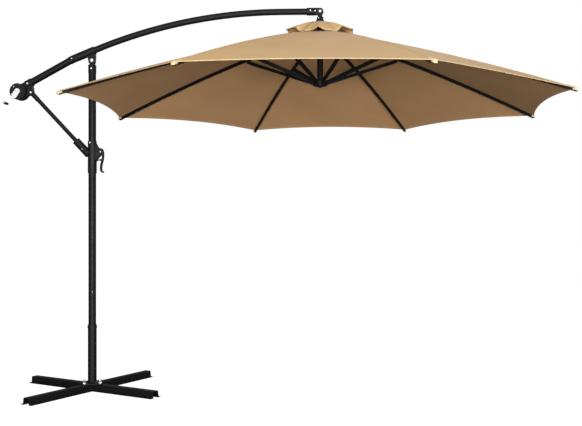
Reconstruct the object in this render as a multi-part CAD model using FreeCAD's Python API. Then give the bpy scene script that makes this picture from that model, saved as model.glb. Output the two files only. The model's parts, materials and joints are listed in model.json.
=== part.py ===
import FreeCAD, Part
import math
import os

os.makedirs("parts", exist_ok=True)

# A cantilever parasol: a cross base and a post, a tilting arm held by a strut and a locking
# slider, and an eight-ribbed canopy that hangs from the end of the arm and folds round a runner.
# Origin: the foot of the post on the ground. +X runs to the canopy, +Z up, the crank faces -Y.

# ---- clearances ----
running_gap = 0.3
pin_gap = 0.06
bolt_gap = 0.5

# ---- post and base ----
pivot_height = 1997.0
pivot_above_post = 31.0
post_radius = 22.5
post_wall = 2.0
post_cap_wall = 1.5
post_cap_depth = 43.0
post_bolt_drop = 20.0
button_height = 595.0
stand_radius = 26.0
stand_wall = 3.0
stand_top = 384.0
bushing_depth = 9.0
bushing_rise = 15.0
weld_leg = 5.0
base_turn = 18.0
plate_side = 120.0
plate_thickness = 6.0
plate_corner = 12.0
plate_bolt_offset = 46.0
plate_bolt_radius = 5.0
washer_radius = 10.5
washer_thickness = 1.6
bolt_head_radius = 9.2
bolt_head_height = 6.4
bolt_nut_height = 8.0
bolt_end = 4.0
rail_length = 1000.0
rail_height = 40.0
rail_width = 86.0
rail_top_width = 42.0
rail_foot_width = 50.0
rail_wall = 4.0

# ---- arm ----
reach = 1385.0
arm_slope = 22.0
arm_lift = 53.0
upper_arm_radius = 19.0
lower_arm_radius = 21.0
arm_wall = 2.5
bend_start = 20.0
tip_straight = 239.0
tip_gap = 40.0
joint_x = -122.0
lower_arm_slope = 28.5
lower_arm_length = 318.0
pivot_pin_radius = 6.0
tongue_half = 8.0
cheek_thickness = 5.0
bracket_start = 37.0
bracket_end = 150.0
bracket_wall = 5.0
joint_sleeve_wall = 2.5
tip_sleeve_wall = 4.0
tip_sleeve_length = 51.0

# ---- slider, lever and strut ----
slider_below_pivot = 489.0
slider_length = 194.0
slider_wall = 3.7
strut_radius = 12.5
strut_wall = 2.0
strut_top_ahead = 27.0
strut_top_drop = 48.4
strut_top_eye = 9.0
strut_top_neck = 20.0
strut_foot_x = -62.0
strut_foot_drop = 37.0
strut_foot_eye = 11.0
strut_foot_neck = 18.0
strut_plug = 22.0
strut_collar_radius = 14.5
strut_collar_length = 38.0
socket_radius = 23.5
socket_bore = 20.5
socket_length = 53.0
socket_root = 60.0
strut_pin_radius = 4.0
foot_slack = 2.6
lever_x = 54.0
lever_drop = 66.0
lever_width = 22.0
lever_thickness = 9.0
lever_length = 122.0
lever_hub_radius = 12.0
lever_pin_radius = 3.0
lever_cheek_thickness = 3.7
plunger_drop = 48.0
plunger_radius = 4.0
plunger_head_radius = 7.0
plunger_head_front = 4.8

# ---- crank and its housing ----
crank_behind = 43.0
crank_drop = 45.0
housing_radius = 49.0
housing_front = -42.0
housing_back = 28.0
housing_wall = 4.0
drum_radius = 20.0
drum_flange_radius = 30.0
drum_flange_thickness = 3.0
drum_half_width = 14.0
axle_radius = 8.0
crank_boss_radius = 16.5
crank_boss_depth = 9.0
crank_blade = 5.1
crank_blade_length = 58.0
crank_throw = 96.0
crank_slope = 54.5
crank_rod_radius = 4.0
grip_length = 55.0
grip_radius = 8.0
ring_screw_radius = 3.5
ring_screw_height = 2.0

# ---- mast, crown and runner ----
mast_below_hinge = 38.0
mast_above_crown = 93.0
mast_radius = 18.0
mast_wall = 1.5
hanger_wall = 5.5
hanger_depth = 25.0
crown_radius = 47.5
crown_skirt = 13.0
crown_plate = 3.0
crown_room = 1.5
eye_pin_radius = 2.0
runner_drop = 300.0
runner_core_radius = 27.0
runner_radius = 43.5
runner_shoulder = 14.0
runner_skirt = 16.0
spigot_length = 26.0
knob_radius = 24.0
knob_height = 13.0

# ---- canopy ----
rib_count = 8
first_rib_turn = 22.5
tip_radius = 1500.0
canopy_depth = 428.0
crown_pitch_radius = 40.0
rib_rise = 23.0
rib_depth = 18.0
rib_width = 12.0
rib_wall = 1.0
rib_plug = 24.0
rib_cap = 3.5
rim_overhang = 6.0
rim_gap = 0.5
attach_distance = 476.0
attach_drop = 20.0
lug_radius = 7.0
lug_half = 4.0
lug_foot = 17.0
runner_pitch_radius = 38.0
stretcher_depth = 20.0
stretcher_width = 14.0
stretcher_wall = 1.2
stretcher_pin_radius = 2.5
stretcher_head_radius = 4.5
stretcher_head = 1.2
cloth = 0.8
cloth_gap = 1.1
scallop = 80.0
vent_radius = 130.0
vent_cap_radius = 216.0
vent_cap_inner = 19.6
vent_cap_skirt = 28.0
vent_cap_rise = 67.0
vent_cap_lift = 30.0
vent_cap_scallop = 6.0

# ---- places that follow from these ----
post_top = pivot_height - pivot_above_post
plate_top = rail_height + plate_thickness
plate_bolt_radius_from_post = plate_bolt_offset * math.sqrt(2)
rail_turn = base_turn + 45
cheek_in = tongue_half + running_gap
cheek_out = cheek_in + cheek_thickness
slope = math.radians(arm_slope)
lower_slope = math.radians(lower_arm_slope)
arm_line_z = pivot_height + arm_lift / math.cos(slope)
bend_end = reach - tip_straight
bend_radius = (bend_end - bend_start) / math.sin(slope)
bend_start_z = arm_line_z + bend_start * math.tan(slope)
hinge_z = bend_start_z + bend_radius * (1 - math.cos(slope))
joint_z = arm_line_z + joint_x * math.tan(slope)
arm_foot_x = joint_x - lower_arm_length * math.cos(lower_slope)
arm_foot_z = joint_z - lower_arm_length * math.sin(lower_slope)
arm_end_x = reach - tip_gap
bracket_radius = upper_arm_radius + bracket_wall
crank_x = arm_foot_x - crank_behind
crank_z = arm_foot_z - crank_drop
strut_top_x = arm_foot_x + strut_top_ahead
strut_top_z = arm_foot_z - strut_top_drop
slider_top = pivot_height - slider_below_pivot
slider_bottom = slider_top - slider_length
slider_bore = post_radius + running_gap
slider_radius = slider_bore + slider_wall
strut_foot_z = slider_top - strut_foot_drop
lever_z = slider_top - lever_drop
lever_cheek_in = lever_width / 2 + running_gap
lever_cheek_out = lever_cheek_in + lever_cheek_thickness
plunger_z = lever_z - plunger_drop
crank_seat = housing_front + crank_boss_depth - running_gap
mast_top = hinge_z - mast_below_hinge
crown_height = mast_top - mast_above_crown
rim_height = crown_height - canopy_depth
runner_height = crown_height - runner_drop
runner_top = runner_height + runner_shoulder
runner_bottom = runner_height - runner_skirt
mast_bottom = runner_top + running_gap
vent_cap_rim_height = crown_height - vent_cap_skirt
vent_cap_top = crown_height + vent_cap_rise

# The rib is a shallow arc in the (radius, height) plane.
crown = (crown_pitch_radius, crown_height)
rib_tip = (tip_radius - rim_overhang, rim_height - rib_depth / 2 - rim_gap)
chord = math.hypot(rib_tip[0] - crown[0], rib_tip[1] - crown[1])
chord_drop = math.atan2(crown[1] - rib_tip[1], rib_tip[0] - crown[0])
rib_bow = chord ** 2 / (8 * rib_rise) + rib_rise / 2
bow_r = (crown[0] + rib_tip[0]) / 2 - math.sin(chord_drop) * (rib_bow - rib_rise)
bow_z = (crown[1] + rib_tip[1]) / 2 - math.cos(chord_drop) * (rib_bow - rib_rise)
root_angle = math.atan2(crown[0] - bow_r, crown[1] - bow_z)
end_angle = math.atan2(rib_tip[0] - bow_r, rib_tip[1] - bow_z)
rib_length = rib_bow * (end_angle - root_angle)
ridge_lift = rib_depth / 2 + cloth_gap
runner_foot = (runner_pitch_radius, runner_height)


def vector(x, y, z):
    return FreeCAD.Vector(x, y, z)


up = vector(0, 0, 1)
back = vector(0, 1, 0)
right = vector(1, 0, 0)
origin = vector(0, 0, 0)
joint = vector(joint_x, 0, joint_z)
upper_way = vector(math.cos(slope), 0, math.sin(slope))
lower_way = vector(-math.cos(lower_slope), 0, -math.sin(lower_slope))
arm_foot = vector(arm_foot_x, 0, arm_foot_z)
crank_centre = vector(crank_x, 0, crank_z)
strut_top = vector(strut_top_x, 0, strut_top_z)
strut_foot = vector(strut_foot_x, 0, strut_foot_z)
strut_way = (strut_foot - strut_top).normalize()


def save(name, *solids):
    """Writes one sub-part, a single solid or a group of them, to its own STEP file."""
    shape = solids[0] if len(solids) == 1 else Part.makeCompound(list(solids))
    shape.exportStep("parts/" + name + ".step")


def upright(radius, bottom, top, x=0.0, y=0.0):
    return Part.makeCylinder(radius, top - bottom, vector(x, y, bottom), up)


def upright_tube(radius, wall, bottom, top, x=0.0):
    return upright(radius, bottom, top, x).cut(upright(radius - wall, bottom, top, x))


def rod(start, end, radius):
    """A round bar from one point to another."""
    along = end - start
    return Part.makeCylinder(radius, along.Length, start, along)


def cross_pin(x, z, radius, front, rear):
    """A round bar along Y."""
    return Part.makeCylinder(radius, rear - front, vector(x, front, z), back)


def prism(points, front, rear):
    """A polygon of (x, z) corners, extruded along Y."""
    corners = [vector(x, front, z) for x, z in points]
    face = Part.Face(Part.makePolygon(corners + corners[:1]))
    return face.extrude(vector(0, rear - front, 0))


def block(x0, x1, y0, y1, z0, z1):
    return Part.makeBox(x1 - x0, y1 - y0, z1 - z0, vector(x0, y0, z0))


def lathe(profile, x=0.0, y=0.0):
    """A polygon of (radius, z) corners, turned about an upright axis."""
    corners = [vector(x + radius, y, z) for radius, z in profile]
    face = Part.Face(Part.makePolygon(corners + corners[:1]))
    return face.revolve(vector(x, y, 0), up, 360)


def dome_screw(x, z, face_y, facing, head_radius, head_height, shank_radius, shank_length):
    """A round-headed screw along Y. facing is -1 for a head towards the front, 1 for the rear."""
    bulge = (head_radius ** 2 + head_height ** 2) / (2 * head_height)
    ball = Part.makeSphere(bulge, vector(x, face_y + facing * (head_height - bulge), z))
    low = min(face_y, face_y + facing * head_height)
    slab = cross_pin(x, z, head_radius, low, low + head_height)
    tail = face_y - facing * shank_length
    shank = cross_pin(x, z, shank_radius, min(face_y, tail), max(face_y, tail))
    return ball.common(slab).fuse(shank)


def headed_pin(x, z, radius, face_y, front_head, rear_head):
    """A pin along Y with a domed (radius, height) head at each end."""
    front = dome_screw(x, z, -face_y, -1, front_head[0], front_head[1], radius, face_y)
    rear = dome_screw(x, z, face_y, 1, rear_head[0], rear_head[1], radius, face_y)
    return fused(front, rear)


def fused(*solids):
    whole = solids[0]
    for solid in solids[1:]:
        whole = whole.fuse(solid)
    return whole.removeSplitter()


def without(solid, *tools):
    for tool in tools:
        solid = solid.cut(tool)
    return solid


def halves(whole):
    """The front and the rear half of a moulding that is split on the arm's middle plane."""
    front = block(-reach, reach, -reach, 0, 0, 2 * pivot_height)
    rear = block(-reach, reach, 0, reach, 0, 2 * pivot_height)
    return whole.common(front), whole.common(rear)


# ---------------------------------------------------------------- base and post

def hat_outline(with_flanges, shift):
    """The hat section's outer outline as (across, z) corners."""
    top = rail_top_width / 2
    foot = rail_foot_width / 2
    edge = rail_width / 2 if with_flanges else foot
    return [(-edge, -shift), (-edge, rail_wall), (-foot, rail_wall), (-top, rail_height),
            (top, rail_height), (foot, rail_wall), (edge, rail_wall), (edge, -shift)]


def along_rail(outline, length):
    """Extrudes an (across, z) outline along X, centred on the post."""
    corners = [vector(-length / 2, across, z) for across, z in outline]
    wire = Part.makePolygon(corners + corners[:1])
    return Part.Face(wire).extrude(vector(length, 0, 0))


def hat_rail():
    top = rail_top_width / 2 - rail_wall
    foot = rail_foot_width / 2 - rail_wall
    inner_height = rail_height - rail_wall
    hollow = [(-foot, -1), (-top, inner_height), (top, inner_height), (foot, -1)]
    rail = along_rail(hat_outline(True, 0), rail_length)
    rail = rail.cut(along_rail(hollow, rail_length + 2))
    for side in (-1, 1):
        hole = upright(plate_bolt_radius + bolt_gap, 0, rail_height + 1, side * plate_bolt_radius_from_post)
        rail = rail.cut(hole)
    return rail


def base_rails():
    """Two hat rails, half-lapped where they cross."""
    half = rail_height / 2
    far = 2 * rail_width
    crossing = along_rail(hat_outline(False, 1), far)
    crossing.rotate(origin, up, 90)
    lower = hat_rail().cut(crossing.common(block(-far, far, -far, far, half, rail_height + 1)))
    under = along_rail(hat_outline(True, 1), far)
    under.rotate(origin, up, -90)
    upper = hat_rail().cut(under.common(block(-far, far, -far, far, -1, half)))
    lower.rotate(origin, up, rail_turn)
    upper.rotate(origin, up, rail_turn + 90)
    save("cross_rail_lower", lower)
    save("cross_rail_upper", upper)


def stand():
    """The flange plate with the tube that the post stands in, welded together."""
    side = plate_side / 2
    plate = block(-side, side, -side, side, rail_height, plate_top)
    corners = [edge for edge in plate.Edges if abs(edge.tangentAt(0).z) > 0.9]
    plate = plate.makeFillet(plate_corner, corners)
    for x in (-plate_bolt_offset, plate_bolt_offset):
        for y in (-plate_bolt_offset, plate_bolt_offset):
            plate = plate.cut(upright(plate_bolt_radius + bolt_gap, rail_height - 1, plate_top + 1, x, y))
    inside = stand_radius - stand_wall / 2
    weld = lathe([(inside, plate_top), (stand_radius + weld_leg, plate_top),
                  (stand_radius, plate_top + weld_leg), (inside, plate_top + weld_leg)])
    tube = upright_tube(stand_radius, stand_wall, plate_top, stand_top)
    whole = fused(plate, weld, tube)
    whole.rotate(origin, up, base_turn)
    save("stand_tube", whole)


def hexagon(radius, bottom, top):
    corners = []
    for k in range(6):
        angle = math.radians(60 * k)
        corners.append(vector(radius * math.cos(angle), radius * math.sin(angle), bottom))
    return Part.Face(Part.makePolygon(corners + corners[:1])).extrude(vector(0, 0, top - bottom))


def base_bolts():
    washer_top = plate_top + washer_thickness
    under_top = rail_height - rail_wall
    nut_bottom = under_top - bolt_nut_height
    bolt = fused(upright(washer_radius, plate_top, washer_top),
                 hexagon(bolt_head_radius, washer_top, washer_top + bolt_head_height),
                 upright(plate_bolt_radius, nut_bottom - bolt_end, washer_top),
                 hexagon(bolt_head_radius, nut_bottom, under_top))
    bolts = []
    for k in range(4):
        copy = bolt.copy()
        copy.translate(vector(plate_bolt_radius_from_post, 0, 0))
        copy.rotate(origin, up, rail_turn + 90 * k)
        bolts.append(copy)
    save("base_fasteners", *bolts)


def stand_bushing():
    """The plastic ring that steps from the stand's tube to the post."""
    skirt = stand_radius + 2.4
    lip = post_radius + 1.6
    save("stand_bushing", lathe([(stand_radius, stand_top - bushing_depth), (skirt, stand_top - bushing_depth),
                                 (skirt, stand_top), (lip, stand_top + bushing_rise),
                                 (post_radius, stand_top + bushing_rise), (post_radius, stand_top),
                                 (stand_radius, stand_top)]))


def post():
    """The post and its spring button."""
    button_x = 7.0
    button_radius = 3.0
    button_shoulder = 5.5
    button_from = post_radius + 1
    button_to = post_radius - post_wall - 4.5
    tube = upright_tube(post_radius, post_wall, plate_top, post_top)
    tube = tube.cut(cross_pin(button_x, button_height, button_radius, -button_from, -button_to))
    save("post_tube", tube)
    button = fused(cross_pin(button_x, button_height, button_radius, -button_from, -button_to),
                   cross_pin(button_x, button_height, button_shoulder, -button_to, 2 - button_to),
                   Part.makeSphere(button_radius, vector(button_x, -button_from, button_height)))
    save("post_button", button)


def post_cap():
    """The cap on the post with the tongue of the tilt hinge, and its two bolts."""
    foot = post_top - post_cap_depth
    radius = post_radius + post_cap_wall
    roof = post_top + 4
    tongue_radius = 15.0
    tongue = fused(block(-tongue_radius, tongue_radius, -tongue_half, tongue_half, post_top + 2, pivot_height),
                   cross_pin(0, pivot_height, tongue_radius, -tongue_half, tongue_half))
    crown_ring = lathe([(0, roof - 0.1), (radius, roof - 0.1), (post_radius, roof + 1), (0, roof + 1)])
    bore = upright(post_radius, foot, post_top)
    cap = fused(upright(radius, foot, roof), tongue, crown_ring)
    cap = without(cap, bore, cross_pin(0, pivot_height, pivot_pin_radius, -radius, radius))
    save("post_cap", cap)
    bolt_z = post_top - post_bolt_drop
    inside = upright(radius, foot, post_top)
    bolts = [dome_screw(0, bolt_z, side * radius, side, 6, 4, 2.5, post_cap_wall).cut(inside) for side in (-1, 1)]
    save("post_cap_bolts", *bolts)


# ---------------------------------------------------------------- arm

def arm_spine():
    """The upper arm's centre line: a straight, a long bend and a level end."""
    start = joint + upper_way * 4
    bend_from = vector(bend_start, 0, bend_start_z)
    bend_to = vector(bend_end, 0, hinge_z)
    centre_z = hinge_z - bend_radius
    half = slope / 2
    middle = vector(bend_end - bend_radius * math.sin(half), 0, centre_z + bend_radius * math.cos(half))
    edges = [Part.makeLine(start, bend_from), Part.Arc(bend_from, middle, bend_to).toShape(),
             Part.makeLine(bend_to, vector(arm_end_x, 0, hinge_z))]
    return start, Part.Wire(edges)


def arm_tubes():
    start, spine = arm_spine()
    skin = Part.Wire(Part.makeCircle(upper_arm_radius, start, upper_way))
    bore = Part.Wire(Part.makeCircle(upper_arm_radius - arm_wall, start, upper_way))
    upper = spine.makePipeShell([skin], True, False).cut(spine.makePipeShell([bore], True, False))
    save("arm_upper_tube", upper)
    head = joint + lower_way * 4
    lower = rod(head, arm_foot, lower_arm_radius).cut(rod(head, arm_foot, lower_arm_radius - arm_wall))
    save("arm_lower_tube", lower)


def arm_pivot_bolt():
    """The pin of the tilt hinge, with a dome head in front and a cap nut behind."""
    save("arm_pivot_bolt", headed_pin(0, pivot_height, pivot_pin_radius, cheek_out + running_gap,
                                      (12, 6.6), (10.2, 7.2)))


def arm_bracket():
    """The sleeve round the arm and the leg that tapers to the fork of the tilt hinge."""
    sleeve_from = joint + upper_way * bracket_start
    sleeve_to = joint + upper_way * bracket_end
    leg = 18.0
    toe = 6.0
    fork_bottom = pivot_height - 20.0
    room = 17.0
    flank = prism([(-leg, fork_bottom + toe), (-leg + toe, fork_bottom), (leg - toe, fork_bottom),
                   (leg, fork_bottom + toe), (leg + 3, pivot_height + 22), (leg + 3, arm_line_z - 4),
                   (-leg - 24, arm_line_z - 17), (-leg - 6, pivot_height + 14)], -cheek_out, cheek_out)
    slot = fused(cross_pin(0, pivot_height, room, -cheek_in, cheek_in),
                 block(-room, room, -cheek_in, cheek_in, fork_bottom - 5, pivot_height),
                 block(-leg - 2, leg + 2, -cheek_in, cheek_in, fork_bottom - 5, pivot_height - 10))
    whole = fused(rod(sleeve_from, sleeve_to, bracket_radius), flank.cut(slot))
    whole = without(whole, rod(sleeve_from - upper_way * 5, sleeve_to + upper_way * 5, upper_arm_radius),
                    cross_pin(0, pivot_height, pivot_pin_radius + pin_gap, -leg, leg))
    save("arm_bracket", whole)


def arm_joint_sleeve():
    """The bent sleeve over the arm's joint, and the screws of the arm's sleeves."""
    radius = lower_arm_radius + joint_sleeve_wall
    upper_end = joint + upper_way * (bracket_start - running_gap)
    lower_end = joint + lower_way * 18
    sleeve = fused(rod(joint, upper_end, radius), rod(joint, lower_end, radius), Part.makeSphere(radius, joint))
    bores = fused(rod(joint, upper_end + upper_way, upper_arm_radius),
                  rod(joint, lower_end + lower_way * 10, lower_arm_radius),
                  Part.makeSphere(upper_arm_radius, joint))
    save("arm_joint_sleeve", sleeve.cut(bores))
    screws = [dome_screw(joint_x + 3, joint_z + 3, side * (radius - 0.5), side, 4.5, 3.5, 2, 0.5).cut(sleeve)
              for side in (-1, 1)]
    top = joint + upper_way * (bracket_end - 12)
    outwards = vector(-math.sin(slope), 0, math.cos(slope))
    plug_radius = 4.5
    plug = rod(top + outwards * upper_arm_radius, top + outwards * (bracket_radius + 3.5), plug_radius)
    plug = plug.cut(rod(joint, joint + upper_way * bracket_end, bracket_radius))
    save("arm_screws", *screws, plug)


def arm_tip():
    """The fork casting at the arm's end, the screws of its sleeve and the canopy's hinge pin."""
    sleeve_radius = upper_arm_radius + tip_sleeve_wall
    round_radius = 20.0
    room = 16.0
    cheek_from = reach - 28
    sleeve_from = cheek_from - tip_sleeve_length
    beyond = reach + 2 * round_radius
    below = hinge_z - 2 * round_radius
    sleeve = Part.makeCylinder(sleeve_radius, tip_sleeve_length, vector(sleeve_from, 0, hinge_z), right)
    cheeks = fused(block(cheek_from - 6, reach, -cheek_out, cheek_out, hinge_z - round_radius, hinge_z + round_radius),
                   cross_pin(reach, hinge_z, round_radius, -cheek_out, cheek_out))
    bore = Part.makeCylinder(upper_arm_radius, arm_end_x - sleeve_from + 1, vector(sleeve_from - 1, 0, hinge_z), right)
    tongue_room = fused(cross_pin(reach, hinge_z, room, -cheek_in, cheek_in),
                        block(reach, beyond, -cheek_in, cheek_in, below, hinge_z + room),
                        block(reach - room, beyond, -cheek_in, cheek_in, below, hinge_z))
    casting = without(fused(sleeve, cheeks), bore, tongue_room,
                      cross_pin(reach, hinge_z, pivot_pin_radius, -round_radius, round_radius))
    save("arm_tip_bracket", casting)
    screws = []
    for side in (-1, 1):
        screws.append(dome_screw(sleeve_from + 22, hinge_z + 4, side * (sleeve_radius - 0.6), side, 5, 3, 2, 1))
        screws.append(dome_screw(cheek_from, hinge_z, side * (sleeve_radius - 0.2), side, 5, 3, 2, 1))
    core = Part.makeCylinder(sleeve_radius, tip_sleeve_length + 10, vector(sleeve_from, 0, hinge_z), right)
    save("arm_tip_screws", *[screw.cut(core) for screw in screws])
    save("arm_tip_pin", headed_pin(reach, hinge_z, pivot_pin_radius, cheek_out, (9, 5), (9, 5)))


# ---------------------------------------------------------------- crank and strut on the arm

def crank_housing():
    """Two half shells that hold the arm's end, the cord drum and the strut's upper pin."""
    lug_face = cheek_out + 3
    neck_radius = lower_arm_radius + housing_wall
    neck_from = arm_foot - lower_way * 36
    neck_to = arm_foot + lower_way * 4
    neck = rod(neck_from, neck_to, neck_radius)
    drum_gap = 2.0
    drum_room = cross_pin(crank_x, crank_z, drum_flange_radius + 3, -drum_half_width - drum_gap,
                          drum_half_width + drum_gap)
    body = cross_pin(crank_x, crank_z, housing_radius, housing_front, housing_back)
    lug = prism([(crank_x + 8, crank_z + housing_radius - 1), (arm_foot_x + 4, arm_foot_z + 20),
                 (arm_foot_x + 36, arm_foot_z - 2), (strut_top_x + 13, strut_top_z + 4),
                 (strut_top_x, strut_top_z - 14), (crank_x + 20, crank_z - 34)], -lug_face, lug_face)
    boss = cross_pin(strut_top_x, strut_top_z, 14, -lug_face, lug_face)
    eye = strut_top_eye + 1.2
    eye_room = fused(cross_pin(strut_top_x, strut_top_z, eye, -cheek_in, cheek_in),
                     prism([(strut_top_x - eye, strut_top_z), (strut_top_x, strut_top_z + eye),
                            (strut_top_x + 6 * eye, strut_top_z + eye), (strut_top_x + 6 * eye, strut_top_z - 6 * eye),
                            (strut_top_x - eye, strut_top_z - 6 * eye)], -cheek_in, cheek_in)).cut(body)
    notch_depth = 22.0
    rim = crank_z + housing_radius
    notch = prism([(crank_x + 2, rim + 8), (crank_x + 11, rim - 12), (crank_x + 24, rim + 8)],
                  housing_front - 1, housing_front + notch_depth)
    front_room = cross_pin(crank_x, crank_z, crank_boss_radius + 1, housing_front - 1,
                           housing_front + crank_boss_depth)
    tube_room = rod(neck_from - lower_way * 2, arm_foot, lower_arm_radius)
    axle_room = cross_pin(crank_x, crank_z, axle_radius + pin_gap, housing_front - 1, housing_back + 1)
    screw_x, screw_z = crank_x - 24, crank_z + 28
    screw_seat = housing_front + ring_screw_height + running_gap
    screw_room = cross_pin(screw_x, screw_z, ring_screw_radius + bolt_gap, housing_front - 1, screw_seat)
    whole = without(fused(body, neck, lug, boss), tube_room, drum_room, eye_room, notch, front_room, axle_room,
                    screw_room, cross_pin(strut_top_x, strut_top_z, strut_pin_radius, -lug_face, lug_face))
    front_half, rear_half = halves(whole)
    save("crank_housing_front", front_half)
    save("crank_housing_rear", rear_half)
    clamp = arm_foot - lower_way * 11
    screws = [dome_screw(clamp.x, clamp.z, side * neck_radius, side, 6, 4, 2, 0.5).cut(neck) for side in (-1, 1)]
    ring_screw = dome_screw(screw_x, screw_z, screw_seat, -1, ring_screw_radius, ring_screw_height, 1.5, 1)
    save("housing_screws", *screws, ring_screw.cut(front_half))
    save("strut_upper_pin", headed_pin(strut_top_x, strut_top_z, strut_pin_radius, lug_face, (6.5, 4), (6.5, 4)))


def crank():
    """The axle and drum inside the housing, the handle in front of it and the grip on the handle."""
    save("crank_axle", cross_pin(crank_x, crank_z, axle_radius, crank_seat, housing_back + 3))
    flange = drum_half_width - drum_flange_thickness
    drum = fused(cross_pin(crank_x, crank_z, drum_radius, -drum_half_width, drum_half_width),
                 cross_pin(crank_x, crank_z, drum_flange_radius, -drum_half_width, -flange),
                 cross_pin(crank_x, crank_z, drum_flange_radius, flange, drum_half_width))
    save("cord_drum", drum.cut(cross_pin(crank_x, crank_z, axle_radius, -drum_half_width, drum_half_width)))
    way = vector(-math.cos(math.radians(crank_slope)), 0, -math.sin(math.radians(crank_slope)))
    side_way = vector(way.z, 0, -way.x)
    blade_back = housing_front - 3 * running_gap
    blade_front = blade_back - crank_blade
    shoulder = crank_blade_length - 22
    outline = [(0, crank_boss_radius), (shoulder, crank_boss_radius), (crank_blade_length - 6, 6),
               (crank_blade_length, 5)]
    near = [crank_centre + way * along + side_way * half for along, half in outline]
    far = [crank_centre + way * along - side_way * half for along, half in reversed(outline)]
    blade = prism([(point.x, point.z) for point in near + far], blade_front, blade_back)
    boss = cross_pin(crank_x, crank_z, crank_boss_radius, blade_front, crank_seat)
    middle = vector(0, (blade_front + blade_back) / 2 - 1.2, 0)
    knee = crank_centre + middle + way * crank_throw
    stick = rod(crank_centre + middle + way * (crank_blade_length - 6), knee, crank_rod_radius)
    spindle_end = knee + vector(0, -grip_length - 8, 0)
    spindle = rod(knee, spindle_end, crank_rod_radius)
    nut = dome_screw(crank_x, crank_z, blade_front, -1, 5, 3.5, 3, 1)
    stop = rod(spindle_end, spindle_end + vector(0, -2, 0), crank_rod_radius + 1.5)
    save("crank_handle", fused(boss, blade, stick, Part.makeSphere(crank_rod_radius, knee), spindle, nut, stop))
    grip_from = knee.y - 7.5
    bore = crank_rod_radius + pin_gap
    waist = grip_radius - 1
    profile = [(bore, 0), (grip_radius - 1.5, 0), (grip_radius, 4), (waist, grip_length * 0.5),
               (grip_radius + 0.5, grip_length - 4), (waist, grip_length - running_gap),
               (bore, grip_length - running_gap)]
    corners = [vector(knee.x + radius, grip_from - along, knee.z) for radius, along in profile]
    face = Part.Face(Part.makePolygon(corners + corners[:1]))
    save("crank_grip", face.revolve(knee, back, 360))


def strut_end(centre, way, eye, neck, hole):
    """The plug in one end of the strut, with its neck and eye, where way points along the tube."""
    inner = strut_radius - strut_wall
    plug = fused(rod(centre + way * neck, centre + way * (neck + strut_plug), inner),
                 rod(centre + way * (neck - 4), centre + way * neck, strut_radius - 0.4))
    aside = vector(way.z, 0, -way.x) * eye
    shoulder = way * (neck - 3)
    corners = [centre + aside, centre + aside + shoulder, centre - aside + shoulder, centre - aside]
    bar = prism([(corner.x, corner.z) for corner in corners], -tongue_half, tongue_half)
    ring = cross_pin(centre.x, centre.z, eye, -tongue_half, tongue_half)
    return fused(plug, bar, ring).cut(cross_pin(centre.x, centre.z, hole, -strut_radius, strut_radius))


def strut():
    tube_from = strut_top + strut_way * strut_top_neck
    tube_to = strut_foot - strut_way * strut_foot_neck
    tube = rod(tube_from, tube_to, strut_radius).cut(rod(tube_from, tube_to, strut_radius - strut_wall))
    save("strut_tube", tube)
    collar_from = strut_top + strut_way * (strut_top_neck - 4)
    collar_to = tube_from + strut_way * strut_collar_length
    collar = rod(collar_from, collar_to, strut_collar_radius).cut(rod(tube_from, collar_to, strut_radius))
    upper_end = strut_end(strut_top, strut_way, strut_top_eye, strut_top_neck, strut_pin_radius + pin_gap)
    save("strut_fittings", fused(upper_end, collar),
         strut_end(strut_foot, strut_way * -1, strut_foot_eye, strut_foot_neck, strut_pin_radius + foot_slack))


# ---------------------------------------------------------------- slider and lever

def slider():
    """Two clamped half shells: a collar on the post, the strut's socket and the lever's bracket."""
    mouth = strut_foot - strut_way * socket_length
    socket = rod(strut_foot + strut_way * socket_root, mouth, socket_radius)
    collar = upright(slider_radius, slider_bottom, slider_top)
    hub_radius = lever_hub_radius + 1
    root_x = slider_bore - 4.8
    bracket = prism([(root_x, slider_top - 10), (root_x + 6, slider_top - 14), (lever_x - 15, lever_z + 26),
                     (lever_x - 3, lever_z + 24), (lever_x + 9, lever_z + 10), (lever_x + hub_radius, lever_z),
                     (lever_x + 6, lever_z - 13), (lever_x - 5, lever_z - 24), (root_x + 14, lever_z - 42),
                     (root_x, lever_z - 46)], -lever_cheek_out, lever_cheek_out)
    hub = cross_pin(lever_x, lever_z, hub_radius, -lever_cheek_out, lever_cheek_out)
    boss_radius = 9.0
    boss_reach = 32.0
    boss = Part.makeCylinder(boss_radius, boss_reach, vector(0, 0, plunger_z), right)
    whole = fused(collar, socket, bracket, hub, boss)
    lever_room = block(boss_reach + 1.5, 2 * lever_x, -lever_cheek_in, lever_cheek_in, slider_bottom, slider_top)
    eye_room = cross_pin(strut_foot_x, strut_foot_z, strut_foot_eye + 5, -tongue_half - 2, tongue_half + 2)
    strut_room = fused(rod(strut_foot - strut_way * 6, mouth - strut_way * 5, socket_bore),
                       rod(strut_foot, strut_foot - strut_way * 6, socket_bore), eye_room)
    whole = without(whole, upright(slider_bore, slider_bottom - 1, slider_top + 1), lever_room, strut_room,
                    Part.makeCylinder(plunger_radius + running_gap, lever_x, vector(0, 0, plunger_z), right),
                    cross_pin(lever_x, lever_z, lever_pin_radius, -lever_cheek_out, lever_cheek_out),
                    cross_pin(strut_foot_x, strut_foot_z, strut_pin_radius, -socket_radius, socket_radius))
    front_half, rear_half = halves(whole)
    save("slider_front_shell", front_half)
    save("slider_rear_shell", rear_half)
    screws = []
    for side in (-1, 1):
        clamp = dome_screw(-7, slider_top - 10, side * (slider_radius - 1.5), side, 6, 4.5, 2, 0.5)
        keeper = dome_screw(strut_foot_x + 6, strut_foot_z - 12, side * (socket_radius - 1.5), side, 3, 4, 1.5, 0.5)
        screws += [clamp.cut(collar), keeper.cut(socket)]
    save("slider_screws", *screws)
    save("strut_lower_pin", cross_pin(strut_foot_x, strut_foot_z, strut_pin_radius, -socket_radius, socket_radius))
    save("lever_pin", headed_pin(lever_x, lever_z, lever_pin_radius, lever_cheek_out, (4.8, 2.5), (4.8, 2.5)))


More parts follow.
